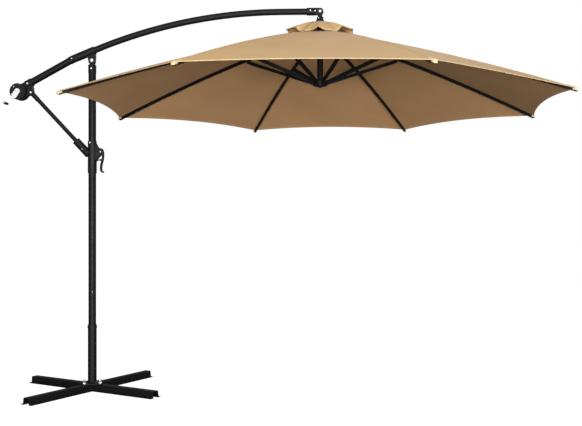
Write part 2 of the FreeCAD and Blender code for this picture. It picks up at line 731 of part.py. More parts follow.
def ribbon(points, width):
    """A face round a smooth curve through (x, z) points, with round ends."""
    curve = Part.BSplineCurve()
    curve.interpolate([vector(x, 0, z) for x, z in points])
    first, last = curve.FirstParameter, curve.LastParameter
    steps = 16
    one_side, other_side = [], []
    for k in range(steps + 1):
        place = first + (last - first) * k / steps
        along = curve.tangent(place)[0]
        across = vector(along.z, 0, -along.x) * (width / 2)
        one_side.append(curve.value(place) + across)
        other_side.append(curve.value(place) - across)
    start_tip = curve.value(first) - curve.tangent(first)[0] * (width / 2)
    end_tip = curve.value(last) + curve.tangent(last)[0] * (width / 2)
    one, other = Part.BSplineCurve(), Part.BSplineCurve()
    one.interpolate(one_side)
    other.interpolate(other_side)
    edges = [one.toShape(), Part.Arc(one_side[-1], end_tip, other_side[-1]).toShape(), other.toShape(),
             Part.Arc(other_side[0], start_tip, one_side[0]).toShape()]
    return Part.Face(Part.Wire(Part.sortEdges(edges)[0]))


def lever():
    """The hooked lock lever."""
    half = lever_width / 2
    spine = [(lever_x - 7, lever_z + 17), (lever_x + 3, lever_z + 17), (lever_x + 10, lever_z + 5),
             (lever_x + 12, lever_z - lever_length * 0.22), (lever_x + 10, lever_z - lever_length * 0.38),
             (lever_x + 3, lever_z - lever_length * 0.6), (lever_x, lever_z - lever_length * 0.8),
             (lever_x + 3, lever_z - lever_length * 0.94), (lever_x + 13, lever_z - lever_length)]
    face = ribbon(spine, lever_thickness)
    face.translate(vector(0, -half, 0))
    body = face.extrude(vector(0, lever_width, 0))
    body = fused(body, cross_pin(lever_x, lever_z, lever_hub_radius, -half, half))
    save("lock_lever", body.cut(cross_pin(lever_x, lever_z, lever_pin_radius + pin_gap, -half, half)))


def plunger():
    """The brake shoe behind the lever, with a domed head that the lever presses."""
    head_x = lever_x + plunger_head_front
    ball_x = head_x - plunger_head_radius
    flat = ball_x - 1
    shank = Part.makeCylinder(plunger_radius, flat + 2 - slider_bore, vector(slider_bore, 0, plunger_z), right)
    reach_out = plunger_head_radius + 1
    dome = Part.makeSphere(plunger_head_radius, vector(ball_x, 0, plunger_z))
    dome = dome.common(block(flat, head_x, -reach_out, reach_out, plunger_z - reach_out, plunger_z + reach_out))
    save("lock_plunger", fused(shank, dome))


# ---------------------------------------------------------------- canopy

def on_rib(distance, lift):
    """The (radius, z) point at a distance along the rib's centre line, lifted square to it."""
    angle = root_angle + distance / rib_bow
    return (bow_r + (rib_bow + lift) * math.sin(angle), bow_z + (rib_bow + lift) * math.cos(angle))


def ridge_height(radius):
    """The height of the cover's underside on a rib, at a distance from the mast."""
    return bow_z + math.sqrt((rib_bow + ridge_lift) ** 2 - (radius - bow_r) ** 2)


def at(place):
    return vector(place[0], 0, place[1])


def rib_band(start, end, half, width):
    """A piece of the rib's bowed bar, between two distances from its root."""
    middle = (start + end) / 2
    corners = [at(on_rib(start, half)), at(on_rib(middle, half)), at(on_rib(end, half)),
               at(on_rib(end, -half)), at(on_rib(middle, -half)), at(on_rib(start, -half))]
    edges = [Part.Arc(corners[0], corners[1], corners[2]).toShape(), Part.makeLine(corners[2], corners[3]),
             Part.Arc(corners[3], corners[4], corners[5]).toShape(), Part.makeLine(corners[5], corners[0])]
    face = Part.Face(Part.Wire(edges))
    face.translate(vector(0, -width / 2, 0))
    return face.extrude(vector(0, width, 0))


def rib(attach):
    """One rib: bowed rectangular tube, hinge eye, tip plug and the lug for its stretcher."""
    half = rib_depth / 2
    inside = half - rib_wall
    inner_width = rib_width - 2 * rib_wall
    bar = rib_band(0, rib_length, half, rib_width)
    eye = cross_pin(crown[0], crown[1], half, -rib_width / 2, rib_width / 2)
    hollow = rib_band(crown_pitch_radius - mast_radius - 8, rib_length + 1, inside, inner_width)
    near = on_rib(attach_distance - lug_foot, rib_wall / 4 - half)
    far = on_rib(attach_distance + lug_foot, rib_wall / 4 - half)
    lug = fused(prism([near, far, (attach[0] + lug_radius, attach[1]), (attach[0] - lug_radius, attach[1])],
                      -lug_half, lug_half),
                cross_pin(attach[0], attach[1], lug_radius, -lug_half, lug_half))
    tube = without(fused(bar, eye, lug), hollow,
                   cross_pin(crown[0], crown[1], eye_pin_radius + pin_gap, -rib_width, rib_width),
                   cross_pin(attach[0], attach[1], stretcher_pin_radius + pin_gap, -rib_width, rib_width))
    plug = fused(rib_band(rib_length - rib_plug, rib_length, inside, inner_width),
                 rib_band(rib_length, rib_length + rib_cap, half, rib_width))
    return tube, plug


def stretcher(attach):
    """One stretcher: a channel between its two hinge eyes, with the pins it carries."""
    near, far = at(attach), at(runner_foot)
    length = (far - near).Length
    half = stretcher_depth / 2
    wide = stretcher_width / 2
    inner = wide - stretcher_wall
    flank = half - 1
    taper = 25.0
    edges = [Part.makeLine(vector(0, -wide, flank), vector(taper, -wide, half)),
             Part.makeLine(vector(taper, -wide, half), vector(length, -wide, half)),
             Part.Arc(vector(length, -wide, half), vector(length + half, -wide, 0),
                      vector(length, -wide, -half)).toShape(),
             Part.makeLine(vector(length, -wide, -half), vector(taper, -wide, -half)),
             Part.makeLine(vector(taper, -wide, -half), vector(0, -wide, -flank)),
             Part.Arc(vector(0, -wide, -flank), vector(-flank, -wide, 0), vector(0, -wide, flank)).toShape()]
    bar = Part.Face(Part.Wire(edges)).extrude(vector(0, stretcher_width, 0))
    past = length + stretcher_depth
    channel = block(-stretcher_depth, past, -inner, inner, stretcher_wall - half, stretcher_depth)
    near_room = block(-stretcher_depth, taper - 3, -inner, inner, -stretcher_depth, stretcher_depth)
    far_room = block(length - 14, past, -inner, inner, -stretcher_depth, stretcher_depth)
    outer = wide + stretcher_head
    whole = fused(without(bar, channel, near_room, far_room),
                  cross_pin(0, 0, stretcher_pin_radius, -outer, outer),
                  cross_pin(length, 0, stretcher_pin_radius, -wide, wide),
                  cross_pin(0, 0, stretcher_head_radius, -outer, -wide),
                  cross_pin(0, 0, stretcher_head_radius, wide, outer))
    # Laid from the lug on the rib to the runner, open side up.
    whole.rotate(origin, up, 180)
    angle = math.degrees(math.atan2(near.z - far.z, near.x - far.x))
    whole.rotate(origin, back, -angle)
    whole.translate(near)
    return whole


def rib_turns():
    return [-90 + first_rib_turn + 360 / rib_count * k for k in range(rib_count)]


def placed(solid, turn):
    copy = solid.copy()
    copy.rotate(origin, up, turn)
    copy.translate(vector(reach, 0, 0))
    return copy


def frame_of_the_canopy():
    attach = on_rib(attach_distance, -attach_drop)
    tube, plug = rib(attach)
    bar = stretcher(attach)
    for k, turn in enumerate(rib_turns()):
        save("rib_%d" % (k + 1), placed(tube, turn), placed(plug, turn))
        save("stretcher_%d" % (k + 1), placed(bar, turn))


def slotted(hub, *tools):
    """Cuts one tool at every rib and moves the hub to the mast."""
    for turn in rib_turns():
        for tool in tools:
            copy = tool.copy()
            copy.rotate(origin, up, turn)
            hub = hub.cut(copy)
    hub.translate(vector(reach, 0, 0))
    return hub


def crown_hub():
    bottom = crown_height - crown_skirt
    slot_half = rib_width / 2 + running_gap
    slot_top = crown_height + rib_depth / 2 + crown_room
    top = slot_top + crown_plate
    hub = lathe([(mast_radius, bottom), (crown_radius - 2, bottom), (crown_radius, bottom + 2),
                 (crown_radius, top - 2), (crown_radius - 3, top), (mast_radius, top)])
    slot_from = crown_pitch_radius - rib_depth / 2 - 2 * running_gap
    slot = block(slot_from, crown_radius + 5, -slot_half, slot_half, bottom - 5, slot_top)
    pin_half = 2 * slot_half - 0.6
    pin = cross_pin(crown_pitch_radius, crown_height, eye_pin_radius, -pin_half, pin_half)
    save("crown_hub", slotted(hub, slot, pin))
    save("crown_pins", *[placed(pin, turn) for turn in rib_turns()])


def runner():
    slot_half = stretcher_width / 2 + running_gap
    hub = lathe([(0, runner_bottom), (runner_radius - 2, runner_bottom), (runner_radius, runner_bottom + 2),
                 (runner_radius, runner_top - 2), (runner_radius - 2, runner_top), (0, runner_top)])
    slot = block(runner_core_radius, runner_radius + 5, -slot_half, slot_half, runner_bottom - 5, runner_top + 5)
    spigot = upright(mast_radius - mast_wall - running_gap, runner_top - 1, runner_top + spigot_length)
    save("runner_hub", slotted(fused(hub, spigot.makeChamfer(2, [spigot.Edges[0]])), slot))
    foot = runner_bottom - knob_height
    knob = lathe([(0, foot), (5, foot + 1), (7, foot + 5), (knob_radius - 2, foot + 8), (knob_radius, foot + 10),
                  (knob_radius, runner_bottom), (0, runner_bottom)], reach)
    save("runner_cap", knob)


def mast():
    """The mast's tube, and the hanger that hinges it to the arm with its screws."""
    save("mast_tube", upright_tube(mast_radius, mast_wall, mast_bottom, mast_top, reach))
    radius = mast_radius + hanger_wall
    foot = mast_top - hanger_depth
    roof = mast_top + hanger_wall
    collar = lathe([(0, foot), (radius, foot), (radius, foot + 9), (radius - 2.5, foot + 16),
                    (mast_radius + 1.8, roof - 2.5), (mast_radius - 1, roof), (0, roof)], reach)
    bore = upright(mast_radius, foot - 1, mast_top, reach)
    tongue_radius = 14.0
    tongue = fused(block(reach - tongue_radius, reach + tongue_radius, -tongue_half, tongue_half,
                         mast_top + 1, hinge_z),
                   cross_pin(reach, hinge_z, tongue_radius, -tongue_half, tongue_half))
    hanger = without(fused(collar, tongue), bore,
                     cross_pin(reach, hinge_z, pivot_pin_radius + pin_gap, -tongue_radius, tongue_radius))
    save("canopy_hanger", hanger)
    screws = []
    for side in (-1, 1):
        screw = dome_screw(reach - 9, foot + 21, side * (mast_radius + 0.6), side, 4.5, 4, 2, 0.5)
        screws.append(screw.cut(fused(collar, bore)))
    save("hanger_screws", *screws)


def gore(inner, outer, height, scalloped, lifted):
    """One panel's surface between two ribs, from a grid of points on it."""
    half_turn = math.pi / rib_count
    rows, columns = 9, 9
    grid = []
    for row in range(rows):
        out = row / (rows - 1)
        radius = inner + (outer - inner) * out
        line = []
        for column in range(columns):
            across = 2 * column / (columns - 1) - 1
            bay = 1 - across ** 2
            pulled = radius - scalloped * bay * out ** 4 / math.cos(half_turn)
            y = across * radius * math.sin(half_turn)
            line.append(vector(pulled * math.cos(half_turn), y, height(pulled) + lifted * bay * out ** 3))
        grid.append(line)
    surface = Part.BSplineSurface()
    surface.interpolate(grid)
    return surface.toShape()


def cloth_shell(inner, outer, height, scalloped, lifted):
    """A closed skin of even thickness over all the panels."""
    panel = gore(inner, outer, height, scalloped, lifted)
    faces = []
    for turn in rib_turns():
        under = panel.copy()
        under.rotate(origin, up, turn + 180 / rib_count)
        over = under.copy()
        over.translate(vector(0, 0, cloth))
        faces += [under, over]
        for edge in under.Edges:
            start, end = edge.valueAt(edge.FirstParameter), edge.valueAt(edge.LastParameter)
            if abs(math.hypot(start.x, start.y) - math.hypot(end.x, end.y)) < 1:
                faces.append(edge.extrude(vector(0, 0, cloth)))
    shell = Part.makeShell(faces)
    shell.sewShape()
    solid = Part.makeSolid(shell)
    if solid.Volume < 0:
        solid.reverse()
    solid.translate(vector(reach, 0, 0))
    return solid


def vent_cap_height(radius):
    """The height of the vent cap's underside on a rib: a cone with a slightly hollow flank."""
    out = (radius - vent_cap_inner) / (vent_cap_radius - vent_cap_inner)
    return vent_cap_top - (vent_cap_top - vent_cap_rim_height) * max(out, 0) ** 0.9


def covers():
    save("canopy_cover", cloth_shell(vent_radius, tip_radius, ridge_height, scallop, 0))
    save("vent_cap", cloth_shell(vent_cap_inner, vent_cap_radius, vent_cap_height, vent_cap_scallop,
                                 vent_cap_lift))


base_rails()
stand()
base_bolts()
stand_bushing()
post()
post_cap()
arm_tubes()
arm_pivot_bolt()
arm_bracket()
arm_joint_sleeve()
arm_tip()
crank_housing()
crank()
strut()
slider()
lever()
plunger()
frame_of_the_canopy()
crown_hub()
runner()
mast()
covers()
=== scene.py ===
import json
import math
import bmesh
import bpy
from mathutils import Matrix, Vector, noise


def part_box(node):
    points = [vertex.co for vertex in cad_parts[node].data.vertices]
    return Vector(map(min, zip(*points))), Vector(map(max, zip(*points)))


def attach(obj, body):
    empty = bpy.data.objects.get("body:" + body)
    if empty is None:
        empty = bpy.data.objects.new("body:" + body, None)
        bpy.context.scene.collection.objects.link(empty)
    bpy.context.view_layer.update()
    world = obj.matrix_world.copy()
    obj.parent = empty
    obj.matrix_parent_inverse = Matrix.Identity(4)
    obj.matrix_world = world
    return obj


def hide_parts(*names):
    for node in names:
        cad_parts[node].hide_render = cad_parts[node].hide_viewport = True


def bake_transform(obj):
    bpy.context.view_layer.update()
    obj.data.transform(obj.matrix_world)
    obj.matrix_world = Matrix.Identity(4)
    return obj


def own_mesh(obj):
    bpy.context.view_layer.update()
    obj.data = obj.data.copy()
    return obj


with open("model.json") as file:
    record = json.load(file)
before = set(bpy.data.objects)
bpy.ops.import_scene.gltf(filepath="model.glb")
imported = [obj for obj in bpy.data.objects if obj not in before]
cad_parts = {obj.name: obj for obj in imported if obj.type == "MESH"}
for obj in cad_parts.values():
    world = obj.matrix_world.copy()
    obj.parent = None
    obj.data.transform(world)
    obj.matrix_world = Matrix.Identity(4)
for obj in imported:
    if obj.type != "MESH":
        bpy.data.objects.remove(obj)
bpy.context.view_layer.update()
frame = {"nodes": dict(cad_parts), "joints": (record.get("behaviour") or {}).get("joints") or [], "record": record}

nodes = frame["nodes"]
joints = {joint["name"]: joint for joint in frame["joints"]}
print("frame loaded:", len(nodes), "nodes")


# shader helpers: a wrapped socket that takes plain arithmetic, and one way to make a node

class Wire:
    def __init__(self, finish, socket):
        self.finish = finish
        self.socket = socket

    def maths(self, operation, *values):
        return self.finish.make("Math", {"operation": operation}, dict(enumerate(values)))

    def __add__(self, other):
        return self.maths("ADD", self, other)

    def __sub__(self, other):
        return self.maths("SUBTRACT", self, other)

    def __mul__(self, other):
        return self.maths("MULTIPLY", self, other)

    def __rmul__(self, other):
        return self.maths("MULTIPLY", other, self)

    def __truediv__(self, other):
        return self.maths("DIVIDE", self, other)


class Finish:
    def __init__(self, name, **constants):
        self.material = bpy.data.materials.new(name)
        self.material.use_nodes = True
        self.nodes = self.material.node_tree.nodes
        self.links = self.material.node_tree.links
        self.shader = self.nodes["Principled BSDF"]
        for key, value in constants.items():
            self.shader.inputs[key.replace("_", " ")].default_value = value

    def make(self, kind, settings={}, inputs={}, output=0):
        node = self.nodes.new("ShaderNode" + kind)
        for key, value in settings.items():
            setattr(node, key, value)
        for key, value in inputs.items():
            self.feed(node.inputs[key], value)
        return Wire(self, node.outputs[output])

    def feed(self, target, value):
        if isinstance(value, Wire):
            self.links.new(value.socket, target)
        else:
            target.default_value = value

    def drive(self, **wires):
        for key, wire in wires.items():
            self.feed(self.shader.inputs[key.replace("_", " ")], wire)

    def place(self):
        return self.make("TexCoord", output=3)

    def noise(self, where, scale, detail=3.0, roughness=0.5):
        return self.make("TexNoise", {},
                         {"Vector": where, "Scale": scale, "Detail": detail, "Roughness": roughness})

    def remap(self, value, low, high, to=(0.0, 1.0)):
        return self.make("MapRange", {"clamp": True}, {"Value": value, "From Min": low, "From Max": high,
                                                       "To Min": to[0], "To Max": to[1]})

    def blend(self, factor, first, second):
        return self.make("Mix", {"data_type": "RGBA"}, {0: factor, 6: first, 7: second}, output=2)

    def bump(self, height, strength, distance):
        return self.make("Bump", {}, {"Strength": strength, "Distance": distance, "Height": height})


# metal and plastic finishes

powderCoat = {"base": (0.0035, 0.0035, 0.004, 1), "dusty": (0.013, 0.0125, 0.012, 1), "grain": 900.0,
              "bump": 0.00006, "rough": (0.42, 0.6), "coat": (0.06, 0.0)}
castCoat = {"base": (0.004, 0.004, 0.0045, 1), "worn": (0.02, 0.0195, 0.019, 1), "grain": 420.0,
            "bump": 0.00012, "rough": (0.42, 0.6)}
nylon = {"base": (0.0045, 0.0045, 0.005, 1), "scuffed": (0.018, 0.018, 0.018, 1), "grain": 1400.0,
         "bump": 0.00005, "rough": (0.42, 0.62)}
plated = {"base": (0.66, 0.66, 0.67, 1), "dull": (0.42, 0.42, 0.43, 1), "hairline": (60, 900, 900),
          "bump": 0.00001, "rough": (0.34, 0.5)}
pebble = {"base": (0.42, 0.42, 0.41, 1), "scuffed": (0.3, 0.3, 0.29, 1), "rough": (0.4, 0.6)}


def makePowderBlack():
    finish = Finish("powderBlack", Specular_IOR_Level=0.1, Coat_Roughness=0.34)
    where = finish.place()
    cloud = finish.noise(where, 7.0, 5.0, 0.6)
    streak = finish.noise(where, 46.0, 3.0, 0.55)
    grain = finish.noise(where, powderCoat["grain"], 2.0)
    dust = finish.remap(cloud * 0.7 + streak * 0.3, 0.52, 0.78)
    finish.drive(Base_Color=finish.blend(dust * 0.35, powderCoat["base"], powderCoat["dusty"]),
                 Roughness=finish.remap(cloud + 0.25 * grain, 0.35, 0.9, powderCoat["rough"]),
                 Coat_Weight=finish.remap(streak, 0.3, 0.7, powderCoat["coat"]),
                 Normal=finish.bump(grain + 0.4 * streak, 0.35, powderCoat["bump"]))
    return finish.material


def makeCastBlack():
    finish = Finish("castBlack", Specular_IOR_Level=0.12)
    where = finish.place()
    cells = finish.make("TexVoronoi", {"feature": "SMOOTH_F1"}, {"Vector": where, "Scale": castCoat["grain"]})
    cloud = finish.noise(where, 24.0, 4.0, 0.6)
    wear = finish.remap(cloud, 0.6, 0.72)
    finish.drive(Base_Color=finish.blend(wear * 0.4, castCoat["base"], castCoat["worn"]),
                 Roughness=finish.remap(cloud, 0.3, 0.7, castCoat["rough"]),
                 Normal=finish.bump(cells + cloud * 0.5, 0.45, castCoat["bump"]))
    return finish.material


def makeNylon(name, recipe):
    finish = Finish(name, Specular_IOR_Level=0.13)
    where = finish.place()
    cloud = finish.noise(where, 30.0, 4.0, 0.55)
    grain = finish.noise(where, nylon["grain"], 2.0)
    scuff = finish.remap(finish.noise(where, 85.0, 6.0, 0.7), 0.58, 0.7)
    finish.drive(Base_Color=finish.blend(scuff * 0.3, recipe["base"], recipe["scuffed"]),
                 Roughness=finish.remap(cloud + 0.3 * scuff, 0.3, 0.9, recipe["rough"]),
                 Normal=finish.bump(grain, 0.4, nylon["bump"]))
    return finish.material


def makePlated():
    finish = Finish("brightPlate", Metallic=0.75)
    where = finish.place()
    cloud = finish.noise(where, 120.0, 4.0, 0.6)
    hair = finish.noise(finish.make("Mapping", {}, {"Vector": where, "Scale": plated["hairline"]}), 1.0, 2.0)
    haze = finish.remap(cloud, 0.55, 0.75, (0.0, 0.5))
    finish.drive(Base_Color=finish.blend(haze, plated["base"], plated["dull"]),
                 Roughness=finish.remap(cloud, 0.3, 0.75, plated["rough"]),
                 Normal=finish.bump(hair, 0.1, plated["bump"]))
    return finish.material


# fabric finishes; each cloth piece carries its UVs in metres, with the distances to its edge and its seam

cloth = {
    "outside": (0.41, 0.27, 0.13, 1), "outsideDeep": (0.375, 0.245, 0.116, 1),
    # the underside's colours are the same fabric set lighter and redder than the outside: painted fill light on
    # the shaded underside
    "inside": (0.46, 0.264, 0.125, 1), "insideDeep": (0.41, 0.23, 0.106, 1),
    "pale": (0.52, 0.4, 0.24, 1), "thread": (0.2, 0.13, 0.055, 1),
    "threadsPerMetre": 1400.0, "stitchPitch": 0.0042, "stitchWide": 0.0011,
    # stitching: metres from the edge or from the seam
    "hemFold": (0.0215, 0.0225), "hemRows": (0.0195, 0.004), "seamRow": 0.005,
    "slub": (260, 14, 1), "rough": (0.78, 0.92), "bump": 0.00035,
}


def stitchMask(finish, distance, along, at):
    offset = finish.make("Math", {"operation": "ABSOLUTE"}, {0: distance - at})
    row = finish.remap(offset, cloth["stitchWide"] * 0.4, cloth["stitchWide"], (1.0, 0.0))
    beat = finish.make("Math", {"operation": "FRACT"}, {0: along / cloth["stitchPitch"]})
    return row * finish.remap(beat, 0.62, 0.72, (1.0, 0.25))


def makeCloth(name, base, deep, hemTone):
    finish = Finish(name, Specular_IOR_Level=0.03, Sheen_Weight=0.01, Sheen_Roughness=0.5)
    uv = finish.make("UVMap", {"uv_map": "clothMap"})
    across = finish.make("SeparateXYZ", {}, {0: uv})
    along = Wire(finish, across.socket.node.outputs[1])
    edge = finish.make("Attribute", {"attribute_name": "edgeDistance"}, output=2)
    seam = finish.make("Attribute", {"attribute_name": "seamDistance"}, output=2)
    pitch = cloth["threadsPerMetre"] * math.pi
    warp = finish.make("Math", {"operation": "SINE"}, {0: across * pitch})
    weft = finish.make("Math", {"operation": "SINE"}, {0: along * pitch})
    weave = warp * weft * 0.5 + 0.5
    slub = finish.noise(finish.make("Mapping", {}, {"Vector": uv, "Scale": cloth["slub"]}), 1.0, 3.0)
    cloud = finish.noise(finish.place(), 2.6, 4.0, 0.55)
    mottle = finish.noise(finish.place(), 38.0, 4.0, 0.6)
    tone = finish.remap(cloud * 0.6 + slub * 0.25 + mottle * 0.15, 0.36, 0.64)
    colour = finish.blend(tone, deep, base)
    hemFrom, hemTo = cloth["hemFold"]
    hem = finish.remap(edge, hemFrom, hemTo, (1.0, 0.0))
    colour = finish.blend(hem * hemTone, colour, cloth["pale"])
    stitches = (stitchMask(finish, edge, across, cloth["hemRows"][0])
                + stitchMask(finish, edge, across, cloth["hemRows"][1])
                + stitchMask(finish, seam, along, cloth["seamRow"]))
    colour = finish.blend(finish.remap(stitches, 0.0, 1.0, (0.0, 0.75)), colour, cloth["thread"])
    finish.drive(Base_Color=colour,
                 Roughness=finish.remap(weave + mottle, 0.4, 1.4, cloth["rough"]),
                 Normal=finish.bump(weave * 0.5 + slub * 0.5 - stitches * 1.5, 0.35, cloth["bump"]))
    return finish.material


powderBlack = makePowderBlack()
castBlack = makeCastBlack()
blackNylon = makeNylon("blackNylon", nylon)
greyNylon = makeNylon("greyNylon", pebble)
brightPlate = makePlated()
clothOutside = makeCloth("clothOutside", cloth["outside"], cloth["outsideDeep"], 0.35)
# the underside's copy of the fabric, lighter than the outside: painted fill light
clothInsidePaintedFill = makeCloth("clothInsidePaintedFill", cloth["inside"], cloth["insideDeep"], 0.12)
clothPale = makeCloth("clothPale", cloth["pale"], cloth["outside"], 0.0)
print("finishes made")

slotFinish = {"frame_black": powderBlack, "tube_black": powderBlack, "cast_black": castBlack,
              "black_plastic": blackNylon, "bright_metal": brightPlate, "grey_plastic": greyNylon,
              "canopy_fabric": clothOutside}


def wear(thing, *materials):
    thing.data.materials.clear()
    for material in materials:
        thing.data.materials.append(material)


for entry in frame["record"]["subparts"]:
    wear(nodes[entry["node"]], slotFinish[entry["material_slot"]])
print("CAD nodes dressed")


# the canopy's layout, read from the frame

ribHinge = Vector(joints["rib_hinge_1"]["pos_m"])
mastAt = Vector((joints["canopy_fold"]["pos_m"][0], joints["canopy_fold"]["pos_m"][1], 0))
coverLow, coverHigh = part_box("canopy_cover")
ventLow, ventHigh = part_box("vent_cap")
halfTurn = math.radians(22.5)
ribTurns = [math.atan2(Vector(joints["rib_hinge_%d" % k]["pos_m"]).y,
                       joints["rib_hinge_%d" % k]["pos_m"][0] - mastAt.x) for k in range(1, 9)]

canopy = {
    "tipRadius": (coverHigh.x - coverLow.x) / 2 / math.cos(halfTurn),
    "rimHeight": coverLow.z,
    "ventRadius": 0.130,
    "rise": 0.023,
    "lift": 0.0101,
    "liftWay": (0.23, 0.973),    # outward and up, square to the ridge
    "thick": 0.0008,
    "scallop": 0.048,
    "sag": 0.007,
    "ripple": 0.0016,
    "rippleScales": (3.1, 8.7),
    "across": 36,
    "along": 46,
}


def arcThrough(start, end, rise):
    chord = (end - start).length
    radius = chord * chord / (8 * rise) + rise / 2
    down = (end - start).normalized()
    outward = Vector((-down.y, down.x))
    return (start + end) / 2 - outward * (radius - rise), radius


hingeRadius = math.hypot(ribHinge.x - mastAt.x, ribHinge.y)
ridgeStart = Vector((hingeRadius + canopy["liftWay"][0] * canopy["lift"],
                     ribHinge.z + canopy["liftWay"][1] * canopy["lift"]))
ridgeEnd = Vector((canopy["tipRadius"], canopy["rimHeight"]))
ridgeCentre, ridgeRadius = arcThrough(ridgeStart, ridgeEnd, canopy["rise"])


def ridgeHeight(radius):
    return ridgeCentre.y + math.sqrt(ridgeRadius ** 2 - (radius - ridgeCentre.x) ** 2)


def onCover(out, across):
    # out runs 0 to 1 from the vent to the rim, across -1 to 1 from edge to edge of a panel, with its rib at 0
    side = 1 if across >= 0 else -1
    toward = abs(across)
    radius = canopy["ventRadius"] + (canopy["tipRadius"] - canopy["ventRadius"]) * out
    bay = 1 - (1 - toward) ** 2
    pulled = radius * math.cos(halfTurn) - canopy["scallop"] * bay * out ** 4
    inset = radius * math.sin(halfTurn) * (1 - toward)
    x = pulled * math.cos(halfTurn) + inset * math.sin(halfTurn)
    y = side * (pulled * math.sin(halfTurn) - inset * math.cos(halfTurn))
    height = ridgeHeight(pulled / math.cos(halfTurn)) + canopy["thick"] / 2
    height -= canopy["sag"] * bay * math.sin(math.pi * min(1, out * 1.05)) ** 0.8 * min(1, radius)
    return Vector((x, y, height)), bay


def rippled(place, bay, out):
    # soft unevenness of stretched cloth, nil along the rib and equal where two panels meet
    wide, fine = canopy["rippleScales"]
    soft = noise.noise(place * wide) + 0.5 * noise.noise(place * fine)
    return canopy["ripple"] * soft * min(1, bay * 3) * min(1, 6 * (1 - out) + 0.25)


def turned(place, turn):
    return Matrix.Translation(mastAt) @ Matrix.Rotation(turn, 4, "Z") @ place


def asObject(bm, name):
    mesh = bpy.data.meshes.new(name)
    bm.to_mesh(mesh)
    bm.free()
    thing = bpy.data.objects.new(name, mesh)
    bpy.context.collection.objects.link(thing)
    return thing


def clothGrid(name, columns, rows, shape):
    # shape(u, v) gives a point, its UV in metres, and its distances to the edge and the seam
    bm = bmesh.new()
    bmesh.ops.create_grid(bm, x_segments=columns, y_segments=rows, size=1)
    uvLayer = bm.loops.layers.uv.new("clothMap")
    edgeLayer = bm.verts.layers.float.new("edgeDistance")
    seamLayer = bm.verts.layers.float.new("seamDistance")
    flat = {}
    for vert in bm.verts:
        point, uv, edge, seam = shape(vert.co.x, (vert.co.y + 1) / 2)
        flat[vert] = uv
        vert[edgeLayer], vert[seamLayer] = edge, seam
        vert.co = point
    for face in bm.faces:
        face.smooth = True
        for loop in face.loops:
            loop[uvLayer].uv = flat[loop.vert]
    for edge in bm.edges:
        # a sharp border keeps the rim's faces from tilting the shading beside it
        edge.smooth = not edge.is_boundary
    bmesh.ops.recalc_face_normals(bm, faces=bm.faces)
    if sum(face.normal.z for face in bm.faces) < 0:
        bmesh.ops.reverse_faces(bm, faces=bm.faces)
    area = sum(face.calc_area() for face in bm.faces)
    return asObject(bm, name), area


def thicken(thing, thickness, offset):
    solid = thing.modifiers.new("wall", "SOLIDIFY")
    solid.thickness = thickness
    solid.offset = offset
    solid.material_offset = 1
    solid.material_offset_rim = 0
    return thing


def tangent(turn):
    return (-math.sin(turn), math.cos(turn), 0)


def foldWith(thing, number, turn):
    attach(thing, "rib_body_%d" % number)
    tangent(turn)
    tuple(turned(Vector((0.7, 0, 1.9)), turn))
    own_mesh(thing)


def makePanel(number, turn):
    def shape(u, v):
        point, bay = onCover(v, u)
        world = turned(point, turn)
        world.z += rippled(world, bay, v)
        radius = canopy["ventRadius"] + (canopy["tipRadius"] - canopy["ventRadius"]) * v
        length = (1 - v) * (canopy["tipRadius"] - canopy["ventRadius"])
        return world, (u * radius * math.sin(halfTurn), length), length, abs(u) * radius * math.sin(halfTurn)
    panel, area = clothGrid("cover_panel_%d" % number, canopy["across"], canopy["along"], shape)
    thicken(panel, canopy["thick"], 0)
    wear(panel, clothOutside, clothInsidePaintedFill)
    foldWith(panel, number, turn)
    return panel, area


# past and share are parts of the panel's length, the others metres
hemBand = {"past": 0.0003, "share": 0.0165, "width": 0.0226, "thick": 0.0028}


def makeHem(number, turn):
    def shape(u, v):
        out = 1 + hemBand["past"] - hemBand["share"] * (1 - v)
        point, bay = onCover(out, u)
        world = turned(point, turn)
        world.z += rippled(world, bay, min(1, out))
        length = (1 - v) * hemBand["width"]
        return world, (u * canopy["tipRadius"] * math.sin(halfTurn), length), length, 1.0
    hem = clothGrid("cover_hem_%d" % number, canopy["across"], 3, shape)[0]
    thicken(hem, hemBand["thick"], 0)
    wear(hem, clothOutside, clothInsidePaintedFill)
    foldWith(hem, number, turn)
    return hem


seamTape = {"halfWidth": 0.008, "stitch": 0.001, "thick": 0.0016, "columns": 4}


def makeSeam(number, turn):
    def shape(u, v):
        radius = canopy["ventRadius"] + (canopy["tipRadius"] - canopy["ventRadius"]) * v
        across = u * seamTape["halfWidth"]
        point = onCover(v, across / (radius * math.sin(halfTurn)))[0]
        length = (1 - v) * (canopy["tipRadius"] - canopy["ventRadius"])
        return turned(point, turn), (across, length), 1.0, abs(abs(across) - seamTape["stitch"])
    seam = clothGrid("cover_seam_%d" % number, seamTape["columns"], canopy["along"], shape)[0]
    thicken(seam, seamTape["thick"], 1)
    wear(seam, clothOutside, clothOutside)
    foldWith(seam, number, turn)
    return seam


pocket = {"length": 0.050, "halfWidth": 0.025, "rise": 0.0024, "thick": 0.0012,
          "across": 8, "along": 14}


def makePocket(number, turn):
    # the doubled corner patch on top of the cover
    span = canopy["tipRadius"] - canopy["ventRadius"]

    def shape(u, v):
        out = 1.0006 - pocket["length"] * (1 - v) / span
        radius = canopy["ventRadius"] + span * out
        taper = 0.7 + 0.3 * v
        point = onCover(out, u * pocket["halfWidth"] * taper / (radius * math.sin(halfTurn)))[0]
        point.z += pocket["rise"] * math.cos(u * math.pi / 2) ** 0.5
        return turned(point, turn), (u * pocket["halfWidth"], v * pocket["length"]), 0.0045 + 0.02 * v, 1.0
    patch = clothGrid("tip_pocket_%d" % number, pocket["across"], pocket["along"], shape)[0]
    thicken(patch, pocket["thick"], 1)
    wear(patch, clothPale, clothPale)
    foldWith(patch, number, turn)
    return patch


